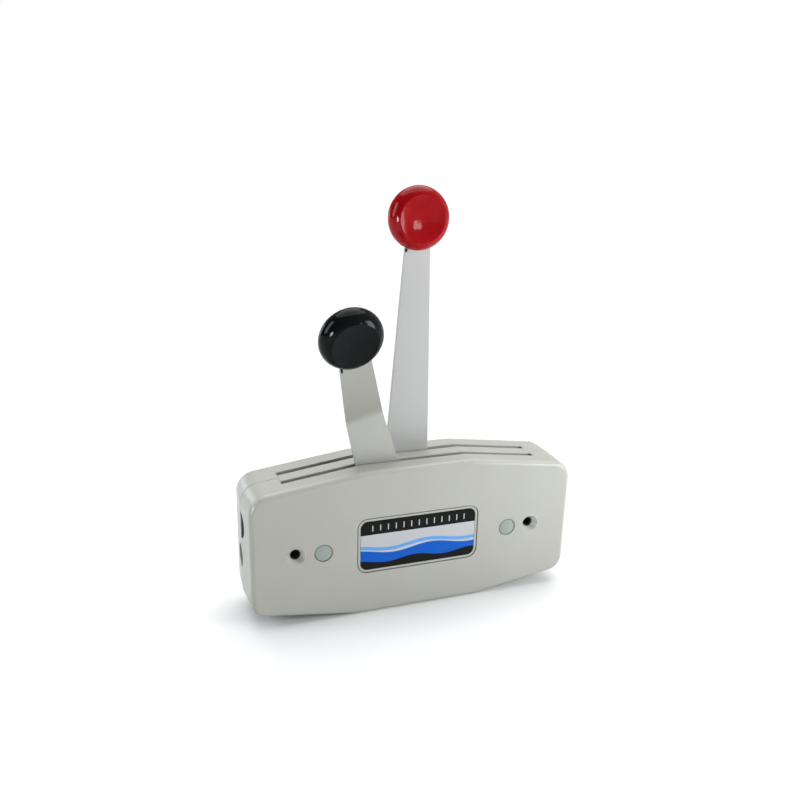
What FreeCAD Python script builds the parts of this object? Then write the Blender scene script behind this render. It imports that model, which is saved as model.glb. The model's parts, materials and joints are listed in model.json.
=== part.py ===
import FreeCAD, Part
import math
import os
import re

import Sketcher

# Twin-lever side-mount control for a boat: a two-shell moulded housing that is
# bolted upright to the boat's side, with a long throttle lever and a short
# shift lever that turn on one bolt inside it. Millimetres.
#
# X runs along the housing, Y from the front face to the wall behind it, and Z up.
# The origin lies on the rear face, midway between the two mounting holes.
# Depth means the distance in front of that rear face, so depth is -Y.
# The levers lean from upright by an angle about +Y, positive towards +X.

DIMENSIONS = {
    # Housing shells
    "housing_depth": 43,
    "seam_depth": 21.4,
    "seam_half_length": 105.6,
    "front_half_length": 103.7,
    "rear_half_length": 104.8,
    "top_height": 48.8,
    "top_flat_half": 34,
    "top_slope": 7.63,
    "bottom_drop": 45.5,
    "bottom_flat_half": 41,
    "bottom_slope": 8.4,
    "top_corner_radius": 12,
    "bottom_corner_radius": 10,
    "front_edge_radius": 3.1,
    "rear_edge_radius": 2.8,
    "seam_chamfer": 0.35,
    "wall": 2.5,
    # Lever planes and slots
    "throttle_plane": 15.2,
    "shift_plane": 28.7,
    "throttle_slot_width": 4,
    "shift_slot_width": 4.4,
    "slot_half_length": 82.6,
    # Centre divider
    "web_thickness": 3,
    "web_half_length": 85.5,
    "web_gap": 0.3,
    "bar_thickness": 3,
    "bar_end_gap": 0.08,
    # Mounting holes and their sleeves
    "mount_offset": 77,
    "mount_hole_radius": 2.9,
    "mount_recess_radius": 5.65,
    "mount_recess_depth": 3.75,
    "mount_boss_radius": 6,
    "sleeve_radius": 4,
    "sleeve_cover": 1.5,
    # Housing screws, their caps and inserts
    "screw_offset": 60.5,
    "cap_radius": 5.5,
    "cap_gap": 0.15,
    "cap_seat_depth": 1.8,
    "cap_rise": 0.25,
    "cap_dome_radius": 26,
    "screw_boss_radius": 7,
    "insert_boss_radius": 5,
    "screw_head_radius": 3.9,
    "screw_head_height": 2.6,
    "screw_head_edge": 0.9,
    "screw_head_room": 4.5,
    "screw_radius": 1.95,
    "screw_core_radius": 1.64,
    "screw_hole_gap": 0.2,
    "insert_radius": 2.8,
    "insert_length": 8,
    "insert_groove": 0.4,
    "insert_groove_start": 3.2,
    "insert_groove_end": 4.8,
    # Label, in a frame with a groove round it
    "label_recess_half_length": 39.6,
    "label_recess_half_height": 18.15,
    "label_recess_radius": 6.5,
    "label_recess_depth": 0.25,
    "label_groove_width": 0.5,
    "label_groove_depth": 0.9,
    "label_margin": 2.1,
    "label_gap": 0.15,
    "label_thickness": 0.6,
    "label_height": 0.5,
    # Pivot stack
    "pivot_offset": -1.8,
    "pivot_drop": 32,
    "bolt_radius": 3.98,
    "bolt_head_flats": 13,
    "bolt_head_height": 5.3,
    "bolt_end_room": 0.85,
    "nut_height": 6.5,
    "hub_radius": 9,
    "bush_radius": 6,
    "bush_flange_radius": 8,
    "bush_flange_thickness": 0.8,
    "turning_gap": 0.05,
    "face_gap": 0.1,
    "friction_washer_thickness": 0.8,
    "washer_radius": 8,
    "washer_thickness": 1.2,
    "washer_hole_gap": 0.12,
    "spring_washer_thickness": 0.8,
    "spring_washer_rise": 0.5,
    "cradle_radius": 9.5,
    "cradle_grip": 1.9,
    "cradle_gap": 0.15,
    # Lever strips
    "blade_thickness": 2.5,
    "throttle_angle": 1.48,
    "throttle_wide_reach": 76,
    "throttle_wide": 28.1,
    "throttle_neck": 15.5,
    "throttle_reach": 224.4,
    "shift_angle": -15.3,
    "shift_wide_reach": 80,
    "shift_wide": 26.5,
    "shift_neck": 18.6,
    "shift_bend_reach": 114,
    "shift_bend_angle": 21.5,
    "shift_bend_radius": 7,
    "shift_beyond_bend": 59.7,
    "tang_width": 12,
    "tang_beyond_centre": 8,
    "shoulder_below_centre": 16,
    # Knobs
    "knob_ring_radius": 10.2,
    "knob_rim_radius": 8.4,
    "knob_dish_radius": 13.7,
    "knob_dish_depth": 1.5,
    "knob_slot_gap": 0.1,
    "knob_mouth_depth": 3.5,
    "set_screw_radius": 1.95,
    "set_screw_gap": 0.05,
    "knob_screw_length": 5.5,
    # Cable swivels
    "throttle_swivel_reach": 24,
    "shift_swivel_reach": 48,
    "swivel_pin_radius": 2.5,
    "swivel_barrel_radius": 4,
    "swivel_barrel_length": 6,
    "swivel_side_gap": 0.3,
    "swivel_wire_radius": 1.3,
    "swivel_wire_offset": 2.8,
    "swivel_pin_end": 2.3,
    "clip_groove_radius": 1.9,
    "clip_radius": 4.2,
    "clip_thickness": 0.8,
    "clip_gap": 0.3,
    "clip_mouth": 3.4,
    "swivel_screw_length": 2.6,
    # Cable ports and clamps
    "shift_port_radius": 8.9,
    "shift_port_behind_seam": 1,
    "throttle_port_radius": 7.3,
    "throttle_port_behind_seam": 5,
    "sheath_radius": 4,
    "shift_cable_height": 15.3,
    "shift_cable_before_seam": 3.9,
    "throttle_cable_height": -7.5,
    "throttle_cable_behind_seam": 6.2,
    "clamp_end_room": 4.4,
    "clamp_length": 12,
    "clamp_half_height": 10.5,
    "strap_thickness": 1.5,
    "clamp_screw_offset": 7.8,
    "clamp_screw_radius": 1.45,
    "clamp_screw_tip_radius": 0.5,
    "clamp_screw_tip_length": 2.2,
    "clamp_screw_head_radius": 2.4,
    "clamp_screw_head_height": 1.6,
    "clamp_screw_head_edge": 0.5,
    "clamp_screw_length": 9,
}

MARGIN = 2  # how far a cutting tool reaches past the surface it opens
NEAR = 1e-4  # lengths under this count as none

doc = FreeCAD.newDocument("twin_lever_control")
sheet = doc.addObject("Spreadsheet::Sheet", "sizes")


def fill_sheet():
    """One row for each driving dimension: its name, then its value under that alias."""
    for row, (name, number) in enumerate(DIMENSIONS.items(), start=1):
        sheet.set(f"A{row}", name)
        sheet.set(f"B{row}", str(number))
        sheet.setAlias(f"B{row}", name)
    doc.recompute()


def formula(text):
    """A FreeCAD expression from one that uses the bare names of the sizes."""
    def name(match):
        word = match.group()
        return "sizes." + word if word in DIMENSIONS else word
    return re.sub(r"[a-z_]+", name, str(text))


def value(name):
    return float(sheet.get(name))


def bind(item, formulas):
    for prop, text in formulas.items():
        item.setExpression(prop, formula(text))


# Places

def at(across="0", depth="0", height="0", turn=None):
    """An upright place, or one turned by (axis, angle)."""
    axis, angle = turn or ("0; 1; 0", "0")
    return (f"placement(vector({across}; -({depth}); {height}); "
            f"rotation(vector({axis}); {angle}))")


TO_THE_FRONT = ("1; 0; 0", "90")
TO_THE_REAR = ("1; 0; 0", "-90")
ALONG_X = ("0; 1; 0", "90")

PIVOT_PLACE = at("pivot_offset", "0", "-pivot_drop")
LEVER_PLACE = {
    "throttle": at("pivot_offset", "throttle_plane", "-pivot_drop", ("0; 1; 0", "throttle_angle")),
    "shift": at("pivot_offset", "shift_plane", "-pivot_drop", ("0; 1; 0", "shift_angle")),
}
KNOB_PLACE = {
    "throttle": LEVER_PLACE["throttle"] + " * " + at("0", "0", "throttle_reach"),
    "shift": LEVER_PLACE["shift"] + " * " + at(
        "0", "shift_beyond_bend * sin(shift_bend_angle)",
        "shift_bend_reach + shift_beyond_bend * cos(shift_bend_angle)",
        ("1; 0; 0", "shift_bend_angle")),
}
SWIVEL_PLACE = {
    lever: at(f"pivot_offset + {lever}_swivel_reach * sin({lever}_angle)", f"{lever}_plane",
              f"-pivot_drop + {lever}_swivel_reach * cos({lever}_angle)")
    for lever in ("throttle", "shift")
}


# Part primitives and booleans

def add(kind, label, formulas):
    item = doc.addObject(kind, label)
    bind(item, formulas)
    return item


def rod(label, radius, start, end, across="0", height="0"):
    """A cylinder that points to the front, from one depth to another."""
    return add("Part::Cylinder", label, {
        "Radius": radius, "Height": f"({end}) - ({start})",
        "Placement": at(across, start, height, TO_THE_FRONT)})


def block(label, left, right, rear, front, low, high):
    return add("Part::Box", label, {
        "Length": f"({right}) - ({left})", "Width": f"({front}) - ({rear})",
        "Height": f"({high}) - ({low})", "Placement": at(left, front, low)})


def bar_along_x(label, radius, left, length, depth, height):
    return add("Part::Cylinder", label, {
        "Radius": radius, "Height": length, "Placement": at(left, depth, height, ALONG_X)})


def fuse(label, pieces):
    item = doc.addObject("Part::MultiFuse", label)
    item.Shapes = pieces
    return item


def cut(label, base, tools):
    tool = tools[0] if len(tools) == 1 else fuse(label + "_tools", tools)
    item = doc.addObject("Part::Cut", label)
    item.Base = base
    item.Tool = tool
    return item


def common(label, base, tool):
    item = doc.addObject("Part::Common", label)
    item.Base = base
    item.Tool = tool
    return item


def group(label, pieces):
    item = doc.addObject("Part::Compound", label)
    item.Links = pieces
    return item


# Bodies, sketches and features

def new_body(label, place=None):
    body = doc.addObject("PartDesign::Body", label)
    if place:
        bind(body, {"Placement": place})
    return body


def sketch_on(body, role, offset="0"):
    """A sketch on one of the body's own planes. On XZ_Plane its offset is a depth."""
    sketch = body.newObject("Sketcher::SketchObject", f"{body.Name}_sketch")
    plane = [item for item in body.Origin.OriginFeatures if item.Role == role][0]
    sketch.AttachmentSupport = [(plane, "")]
    sketch.MapMode = "FlatFace"
    bind(sketch, {"AttachmentOffset.Base.z": offset})
    return sketch


def draw_polygon(sketch, corners):
    """A closed outline whose every corner is held at its formulas."""
    count = len(corners)
    first = sketch.GeometryCount
    spots = [FreeCAD.Vector(math.cos(2 * math.pi * i / count), math.sin(2 * math.pi * i / count), 0)
             for i in range(count)]
    for i in range(count):
        sketch.addGeometry(Part.LineSegment(spots[i], spots[(i + 1) % count]), False)
    for i in range(count):
        sketch.addConstraint(Sketcher.Constraint("Coincident", first + i, 2, first + (i + 1) % count, 1))
    for i, corner in enumerate(corners):
        for kind, start, text in zip(("DistanceX", "DistanceY"), spots[i], corner):
            index = sketch.addConstraint(Sketcher.Constraint(kind, -1, 1, first + i, 1, start))
            bind(sketch, {f"Constraints[{index}]": text})


def draw_circle(sketch, radius, x="0", y="0"):
    index = sketch.addGeometry(
        Part.Circle(FreeCAD.Vector(1, 1, 0), FreeCAD.Vector(0, 0, 1), 1), False)
    for kind, text in (("DistanceX", x), ("DistanceY", y)):
        held = sketch.addConstraint(Sketcher.Constraint(kind, -1, 1, index, 3, 1))
        bind(sketch, {f"Constraints[{held}]": text})
    held = sketch.addConstraint(Sketcher.Constraint("Radius", index, 1))
    bind(sketch, {f"Constraints[{held}]": radius})


def pad(body, sketch, length, both_ways=False, reverse=False):
    item = body.newObject("PartDesign::Pad", f"{body.Name}_pad")
    item.Profile = sketch
    item.Midplane = both_ways
    item.Reversed = reverse
    bind(item, {"Length": length})
    return item


def pocket(body, sketch, length=None, both_ways=False, reverse=False):
    """A pocket of one depth, or right through."""
    item = body.newObject("PartDesign::Pocket", f"{body.Name}_pocket")
    item.Profile = sketch
    item.Midplane = both_ways
    item.Reversed = reverse
    if length:
        bind(item, {"Length": length})
    else:
        item.Type = "ThroughAll"
    return item


def dress(body, kind, size, wanted, chosen):
    """A fillet or chamfer on the edges of the body that a test picks out."""
    doc.recompute()
    base = body.Tip
    names = [f"Edge{i}" for i, edge in enumerate(base.Shape.Edges, start=1) if chosen(edge)]
    if len(names) != wanted:
        raise RuntimeError(f"{body.Label}: {len(names)} edges chosen where {wanted} are rounded")
    item = body.newObject("PartDesign::" + kind, f"{body.Name}_{kind.lower()}")
    item.Base = (base, names)
    bind(item, {"Radius" if kind == "Fillet" else "Size": size})
    doc.recompute()
    return item


def run(edge):
    """The vector from an edge's first end to its last."""
    return edge.Vertexes[-1].Point - edge.Vertexes[0].Point


def crosses(edge, axis):
    """Whether an edge's two ends lie at different places along x, y or z."""
    return abs(getattr(run(edge), axis)) > NEAR


def runs_along(edge, axis):
    """Whether an edge runs more along one of the axes x, y or z than across it."""
    return crosses(edge, axis) and abs(getattr(run(edge), axis)) > 0.75 * run(edge).Length


def lies_at(edge, axis, place):
    """Whether the whole edge lies in one plane across the axis."""
    return all(abs(getattr(vertex.Point, axis) - place) < NEAR for vertex in edge.Vertexes)


def turned(label, profile, place=None, sense=1):
    """A piece turned about the depth axis from (radius, depth) corners."""
    body = new_body(label, place)
    sketch = sketch_on(body, "XY_Plane")
    draw_polygon(sketch, [(radius, f"-({depth}) * {sense}") for radius, depth in profile])
    item = body.newObject("PartDesign::Revolution", f"{body.Name}_turn")
    item.Profile = sketch
    item.ReferenceAxis = (sketch, ["V_Axis"])
    item.Angle = 360
    return body


def ring(label, inner, outer, start, end, place=None, sense=1):
    """A plain turned ring, such as a washer or a sleeve."""
    return turned(label, [(inner, start), (outer, start), (outer, end), (inner, end)], place, sense)


def hexagon(flats):
    """The corners of a hexagon with two corners on the Z axis."""
    corner = f"({flats}) / 2 / cos(30)"
    return [(f"{corner} * sin({60 * i})", f"{corner} * cos({60 * i})") for i in range(6)]


def cutter(body, kind, formulas):
    tool = body.newObject("PartDesign::Subtractive" + kind, f"{body.Name}_{kind.lower()}_cut")
    bind(tool, formulas)
    return tool


# Places along the depth that several pieces share

DIVIDER_PLANE = "(throttle_plane + shift_plane) / 2"
WEB_REAR = f"({DIVIDER_PLANE} - web_thickness / 2)"
WEB_FRONT = f"({DIVIDER_PLANE} + web_thickness / 2)"
BAR_REAR = "(throttle_plane + throttle_slot_width / 2)"
BAR_FRONT = "(shift_plane - shift_slot_width / 2)"
THROTTLE_INNER = "(throttle_plane + blade_thickness / 2)"
THROTTLE_OUTER = "(throttle_plane - blade_thickness / 2)"
SHIFT_INNER = "(shift_plane - blade_thickness / 2)"
SHIFT_OUTER = "(shift_plane + blade_thickness / 2)"
BOSS_REAR = f"({THROTTLE_INNER} + 2 * face_gap + friction_washer_thickness)"
BOSS_FRONT = f"({SHIFT_INNER} - 2 * face_gap - friction_washer_thickness)"
HEAD_SEAT = f"({SHIFT_OUTER} + bush_flange_thickness + face_gap + washer_thickness)"
NUT_WASHER_SEAT = f"({THROTTLE_OUTER} - bush_flange_thickness - face_gap)"
NUT_SEAT = (f"({NUT_WASHER_SEAT} - washer_thickness - spring_washer_thickness"
            " - spring_washer_rise)")
BOLT_END = f"({NUT_SEAT} - nut_height - bolt_end_room)"
SCREW_SEAT = "(housing_depth - cap_seat_depth - screw_head_room)"
SLEEVE_END = "(housing_depth - mount_recess_depth - sleeve_cover)"
LABEL_SEAT = "(housing_depth - label_recess_depth - label_thickness)"
CABLE_DEPTH = {
    "shift": "(seam_depth + shift_cable_before_seam)",
    "throttle": "(seam_depth - throttle_cable_behind_seam)",
}
CLAMP_END = {  # the clamps keep a named distance from the slanted end wall
    "shift": ("(seam_half_length - max(0; seam_half_length - front_half_length)"
              " * shift_cable_before_seam / (housing_depth - seam_depth) - clamp_end_room)"),
    "throttle": ("(seam_half_length - max(0; seam_half_length - rear_half_length)"
                 " * throttle_cable_behind_seam / seam_depth - clamp_end_room)"),
}


# Housing shells

def outline(half_length, inset="0"):
    """The housing's eight-cornered front view, drawn in by an inset on every side."""
    def corners(side, flat_half, slope, height, sign):
        flat_end = f"{flat_half} - ({inset}) * tan({slope} / 2)"
        low_end = (f"{height} - ({inset}) / cos({slope})"
                   f" - tan({slope}) * ({half_length} - ({inset}) - {flat_half})")
        return [(f"{side} * ({flat_end})", f"{sign} * ({height} - ({inset}))"),
                (f"{side} * ({half_length} - ({inset}))", f"{sign} * ({low_end})")]
    top = ("top_flat_half", "top_slope", "top_height", 1)
    bottom = ("bottom_flat_half", "bottom_slope", "bottom_drop", -1)
    return (corners(1, *top)[::-1] + corners(-1, *top)
            + corners(-1, *bottom)[::-1] + corners(1, *bottom))


def shell_block(label, far, far_half_length, rim_radius, inset="0", chamfered=False):
    """One half of the housing as a solid, from the seam to its far face.

    The ends slant in from the seam's length to the far face's, the four corners
    and the far rim are rounded, and an inset makes the hollow that fits inside.
    """
    to_front = far == "housing_depth"
    reach = f"{far} - seam_depth" if to_front else f"seam_depth - {far}"
    far_face = f"{far} - ({inset})" if to_front else f"{far} + ({inset})"
    body = new_body(label)
    seam_sketch = sketch_on(body, "XZ_Plane", "seam_depth")
    draw_polygon(seam_sketch, outline("seam_half_length", inset))
    pad(body, seam_sketch, f"{reach} - ({inset})", reverse=not to_front)
    end_sketch = sketch_on(body, "XY_Plane")
    seam_end = f"seam_half_length - ({inset})"
    far_end = f"{far_half_length} - ({inset})"
    for side in (1, -1):
        draw_polygon(end_sketch, [
            (f"{side} * ({seam_end})", "-seam_depth"),
            (f"{side} * ({far_end})", f"-({far_face})"),
            (f"{side} * ({seam_end} + {MARGIN})", f"-({far_face})"),
            (f"{side} * ({seam_end} + {MARGIN})", "-seam_depth")])
    pocket(body, end_sketch, both_ways=True)
    beyond_flats = (max(value("top_flat_half"), value("bottom_flat_half")) + value(far_half_length)) / 2

    def corner(edge, upper):
        return (crosses(edge, "y") and abs(edge.CenterOfMass.x) > beyond_flats
                and (edge.CenterOfMass.z > 0) == upper)
    dress(body, "Fillet", f"top_corner_radius - ({inset})", 2, lambda edge: corner(edge, True))
    dress(body, "Fillet", f"bottom_corner_radius - ({inset})", 2, lambda edge: corner(edge, False))
    depth = value("housing_depth") if to_front else 0
    inward = value("wall") if inset != "0" else 0
    far_y = -(depth - inward) if to_front else -inward
    dress(body, "Fillet", f"{rim_radius} - ({inset})", 12, lambda edge: lies_at(edge, "y", far_y))
    if chamfered:
        dress(body, "Chamfer", "seam_chamfer", 12,
              lambda edge: lies_at(edge, "y", -value("seam_depth")))
    return body


def port_cutter(label, lever):
    """A round cable port through the left end wall, centred a little behind the seam."""
    ends = "(seam_half_length; front_half_length; rear_half_length)"
    return bar_along_x(label, f"{lever}_port_radius", f"-max{ends} - {MARGIN}",
                       f"max{ends} - min{ends} + wall + {MARGIN}",
                       f"seam_depth - {lever}_port_behind_seam", f"{lever}_cable_height")


def pair(make):
    """The same tool or boss at the right and at the left."""
    return [make("right", "1"), make("left", "-1")]


def clamp_block(name, plane, height, wall_side, shell):
    """A moulded seat for a cable, from the shell's wall to the cable's middle."""
    if wall_side == "front":
        rear, front = plane, "housing_depth - wall / 2"
    else:
        rear, front = "wall / 2", plane
    seat = block(f"{name}_clamp_seat", f"-{CLAMP_END[name]}", f"-{CLAMP_END[name]} + clamp_length",
                 rear, front, f"{height} - clamp_half_height", f"{height} + clamp_half_height")
    return common(f"{name}_clamp_block", seat, shell)


def clamp_cutters(name, plane, height, into):
    """The cable's groove in a clamp block and its two screw holes."""
    groove = bar_along_x(f"{name}_clamp_groove", "sheath_radius", f"-{CLAMP_END[name]} - {MARGIN}",
                         f"clamp_length + 2 * {MARGIN}", plane, height)
    holes = []
    for place, sign in (("upper", "1"), ("lower", "-1")):
        start = plane if into == "front" else f"{plane} - clamp_screw_length"
        holes.append(rod(f"{name}_{place}_clamp_hole", "clamp_screw_radius + set_screw_gap", start,
                         f"{start} + clamp_screw_length", f"-{CLAMP_END[name]} + clamp_length / 2",
                         f"{height} + {sign} * clamp_screw_offset"))
    return [groove] + holes


def make_front_cover():
    outer = shell_block("front_outside", "housing_depth", "front_half_length",
                        "front_edge_radius", chamfered=True)
    inner = shell_block("front_hollow", "housing_depth", "front_half_length",
                        "front_edge_radius", inset="wall")
    shell = cut("front_shell", outer, [inner])
    root = "housing_depth - wall / 2"
    bosses = pair(lambda side, sign: rod(f"front_screw_boss_{side}", "screw_boss_radius", WEB_FRONT,
                                         root, f"{sign} * screw_offset"))
    bosses += pair(lambda side, sign: rod(f"front_mount_boss_{side}", "mount_boss_radius", WEB_FRONT,
                                          root, f"{sign} * mount_offset"))
    bosses.append(rod("bolt_cradle", "cradle_radius", f"{HEAD_SEAT} + bolt_head_height - cradle_grip",
                      root, "pivot_offset", "-pivot_drop"))
    bosses.append(clamp_block("shift", CABLE_DEPTH["shift"], "shift_cable_height", "front", outer))
    tools = [block("front_slot_notch", "-slot_half_length", "slot_half_length",
                   f"seam_depth - {MARGIN}", "shift_plane + shift_slot_width / 2",
                   "top_height / 2", f"top_height + {MARGIN}")]
    tools += [port_cutter("shift_port", "shift"), port_cutter("throttle_port_front", "throttle")]
    tools += label_tools()
    tools.append(hex_block("cradle_hollow", "bolt_head_flats + 2 * cradle_gap",
                           f"{HEAD_SEAT} - {MARGIN}", f"bolt_head_height + cradle_gap + {MARGIN}"))
    tools += clamp_cutters("shift", CABLE_DEPTH["shift"], "shift_cable_height", "front")
    for side, sign in (("right", "1"), ("left", "-1")):
        screw = f"{sign} * screw_offset"
        mount = f"{sign} * mount_offset"
        tools.append(rod(f"cap_seat_{side}", "cap_radius + cap_gap",
                         "housing_depth - cap_seat_depth", f"housing_depth + {MARGIN}", screw))
        tools.append(rod(f"head_room_{side}", "screw_head_radius + screw_hole_gap", SCREW_SEAT,
                         f"housing_depth + {MARGIN}", screw))
        tools.append(rod(f"screw_hole_{side}", "screw_radius + screw_hole_gap",
                         f"{WEB_FRONT} - {MARGIN}", "housing_depth", screw))
        tools.append(rod(f"front_sleeve_bore_{side}", "sleeve_radius + turning_gap",
                         f"{WEB_FRONT} - {MARGIN}", SLEEVE_END, mount))
        tools.append(rod(f"mount_hole_{side}", "mount_hole_radius", f"{SLEEVE_END} - {MARGIN}",
                         "housing_depth", mount))
        tools.append(add("Part::Cone", f"mount_recess_{side}", {
            "Radius1": "mount_hole_radius", "Radius2": "mount_recess_radius",
            "Height": "mount_recess_depth",
            "Placement": at(mount, "housing_depth - mount_recess_depth", "0", TO_THE_FRONT)}))
    return cut("front_cover", fuse("front_shell_with_bosses", [shell] + bosses), tools)


def make_rear_cover():
    outer = shell_block("rear_outside", "0", "rear_half_length", "rear_edge_radius", chamfered=True)
    inner = shell_block("rear_hollow", "0", "rear_half_length", "rear_edge_radius", inset="wall")
    shell = cut("rear_shell", outer, [inner])
    root = "wall / 2"
    bosses = pair(lambda side, sign: rod(f"insert_boss_{side}", "insert_boss_radius", root,
                                         WEB_REAR, f"{sign} * screw_offset"))
    bosses += pair(lambda side, sign: rod(f"rear_mount_boss_{side}", "mount_boss_radius", root,
                                          WEB_REAR, f"{sign} * mount_offset"))
    bosses.append(clamp_block("throttle", CABLE_DEPTH["throttle"], "throttle_cable_height", "rear",
                              outer))
    tools = [block("rear_slot_notch", "-slot_half_length", "slot_half_length",
                   "throttle_plane - throttle_slot_width / 2", f"seam_depth + {MARGIN}",
                   "top_height / 2", f"top_height + {MARGIN}")]
    tools.append(port_cutter("throttle_port_rear", "throttle"))
    tools += clamp_cutters("throttle", CABLE_DEPTH["throttle"], "throttle_cable_height", "rear")
    for side, sign in (("right", "1"), ("left", "-1")):
        tools.append(rod(f"insert_hole_{side}", "insert_radius", f"{WEB_REAR} - insert_length",
                         f"{WEB_REAR} + {MARGIN}", f"{sign} * screw_offset"))
        tools.append(rod(f"rear_sleeve_bore_{side}", "sleeve_radius + turning_gap", f"-{MARGIN}",
                         f"{WEB_REAR} + {MARGIN}", f"{sign} * mount_offset"))
    return cut("rear_cover", fuse("rear_shell_with_bosses", [shell] + bosses), tools)


def label_block(label, inset, start, thickness):
    """A rounded rectangle on the front face, as the label or as its recess."""
    body = new_body(label)
    sketch = sketch_on(body, "XZ_Plane", start)
    length = f"label_recess_half_length - {inset}"
    height = f"label_recess_half_height - {inset}"
    draw_polygon(sketch, [(f"{x} * ({length})", f"label_height + {y} * ({height})")
                          for x, y in ((1, 1), (-1, 1), (-1, -1), (1, -1))])
    pad(body, sketch, thickness)
    dress(body, "Fillet", f"label_recess_radius - {inset}", 4, lambda edge: runs_along(edge, "y"))
    return body


def label_tools():
    """The label's shallow recess, the groove along its edge and the label's own pocket."""
    groove = cut("label_groove", label_block("label_groove_outside", "0",
                                             "housing_depth - label_groove_depth",
                                             f"label_groove_depth + {MARGIN}"),
                 [label_block("label_groove_inside", "label_groove_width",
                              f"housing_depth - label_groove_depth - {MARGIN}",
                              f"label_groove_depth + 3 * {MARGIN}")])
    recess = label_block("label_recess", "0", "housing_depth - label_recess_depth",
                         f"label_recess_depth + {MARGIN}")
    seat = label_block("label_pocket", "(label_margin - label_gap)", LABEL_SEAT,
                       f"label_recess_depth + label_thickness + {MARGIN}")
    return [groove, recess, seat]


def hex_block(label, flats, start, thickness):
    """A hexagonal block about the pivot."""
    body = new_body(label, PIVOT_PLACE)
    sketch = sketch_on(body, "XZ_Plane", start)
    draw_polygon(sketch, hexagon(flats))
    pad(body, sketch, thickness)
    return body


def make_centre_divider():
    """The plate between the levers, whose T-shaped top fills the gap between the slots."""
    web_inset = "wall + web_gap"
    web = new_body("divider_web")
    sketch = sketch_on(web, "XZ_Plane", WEB_REAR)
    corners = outline("web_half_length", web_inset)
    draw_polygon(sketch, corners)
    pad(web, sketch, "web_thickness")
    bar = new_body("divider_bar")
    sketch = sketch_on(bar, "XZ_Plane", BAR_REAR)
    end = "slot_half_length - bar_end_gap"

    def top_at(x, drop):
        return f"top_height - ({drop}) - tan(top_slope) * ({x} - top_flat_half)"
    drop = "bar_thickness"
    draw_polygon(sketch, [
        (end, top_at(end, "0")), ("top_flat_half", "top_height"),
        ("-top_flat_half", "top_height"), (f"-({end})", top_at(end, "0")),
        (f"-({end})", top_at(end, drop)), ("-top_flat_half", f"top_height - {drop}"),
        ("top_flat_half", f"top_height - {drop}"), (end, top_at(end, drop))])
    pad(bar, sketch, f"{BAR_FRONT} - {BAR_REAR}")
    top_edge = value("bar_thickness") / 2

    def upper_long_edge(edge):
        middle = edge.CenterOfMass
        slope = math.tan(math.radians(value("top_slope")))
        surface = value("top_height") - slope * max(0, abs(middle.x) - value("top_flat_half"))
        return runs_along(edge, "x") and surface - middle.z < top_edge
    dress(bar, "Chamfer", "seam_chamfer", 6, upper_long_edge)
    boss = rod("pivot_boss", "hub_radius", BOSS_REAR, BOSS_FRONT, "pivot_offset", "-pivot_drop")
    tools = [rod("pivot_bore", "bolt_radius + turning_gap", "0", "housing_depth", "pivot_offset",
                 "-pivot_drop")]
    for side, sign in (("right", "1"), ("left", "-1")):
        tools.append(rod(f"web_screw_hole_{side}", "screw_radius + screw_hole_gap", "0",
                         "housing_depth", f"{sign} * screw_offset"))
        tools.append(rod(f"web_sleeve_hole_{side}", "sleeve_radius + turning_gap", "0",
                         "housing_depth", f"{sign} * mount_offset"))
    return cut("centre_divider", fuse("divider_blank", [web, bar, boss]), tools)


def make_label_plate():
    return label_block("label_plate", "label_margin", LABEL_SEAT, "label_thickness")


def make_caps():
    """Two low domes that close the holes over the housing screws."""
    caps = []
    for side, sign in (("right", "1"), ("left", "-1")):
        place = f"{sign} * screw_offset"
        disc = rod(f"cap_disc_{side}", "cap_radius", "housing_depth - cap_seat_depth",
                   "housing_depth + cap_rise", place)
        dome = add("Part::Sphere", f"cap_dome_{side}", {
            "Radius": "cap_dome_radius",
            "Placement": at(place, "housing_depth + cap_rise - cap_dome_radius")})
        caps.append(common(f"cap_{side}", disc, dome))
    return group("screw_caps", caps)


def make_housing_screws():
    """Pan-head screws from under the caps into the rear cover's inserts."""
    screws = []
    head_top = f"{SCREW_SEAT} + screw_head_height"
    for side, sign in (("right", "1"), ("left", "-1")):
        screws.append(turned(f"housing_screw_{side}", [
            ("0", f"{WEB_REAR} - insert_length"),
            ("screw_core_radius", f"{WEB_REAR} - insert_length"),
            ("screw_core_radius", WEB_REAR), ("screw_radius", WEB_REAR),
            ("screw_radius", SCREW_SEAT), ("screw_head_radius", SCREW_SEAT),
            ("screw_head_radius", f"{head_top} - screw_head_edge"),
            ("screw_head_radius - screw_head_edge", head_top), ("0", head_top)],
            at(f"{sign} * screw_offset")))
    return group("housing_screws", screws)


def make_inserts():
    """Brass inserts with a groove, pressed into the rear cover's bosses."""
    inserts = []
    core = "screw_core_radius + set_screw_gap"
    waist = "insert_radius - insert_groove"
    for side, sign in (("right", "1"), ("left", "-1")):
        inserts.append(turned(f"insert_{side}", [
            (core, f"{WEB_REAR} - insert_length"), ("insert_radius", f"{WEB_REAR} - insert_length"),
            ("insert_radius", f"{WEB_REAR} - insert_groove_end - insert_groove"),
            (waist, f"{WEB_REAR} - insert_groove_end"), (waist, f"{WEB_REAR} - insert_groove_start"),
            ("insert_radius", f"{WEB_REAR} - insert_groove_start + insert_groove"),
            ("insert_radius", WEB_REAR), (core, WEB_REAR)], at(f"{sign} * screw_offset")))
    return group("threaded_inserts", inserts)


def make_sleeves():
    return group("mounting_sleeves", pair(lambda side, sign: ring(
        f"sleeve_{side}", "mount_hole_radius", "sleeve_radius", "0", SLEEVE_END,
        at(f"{sign} * mount_offset"))))


# Pivot

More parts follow.
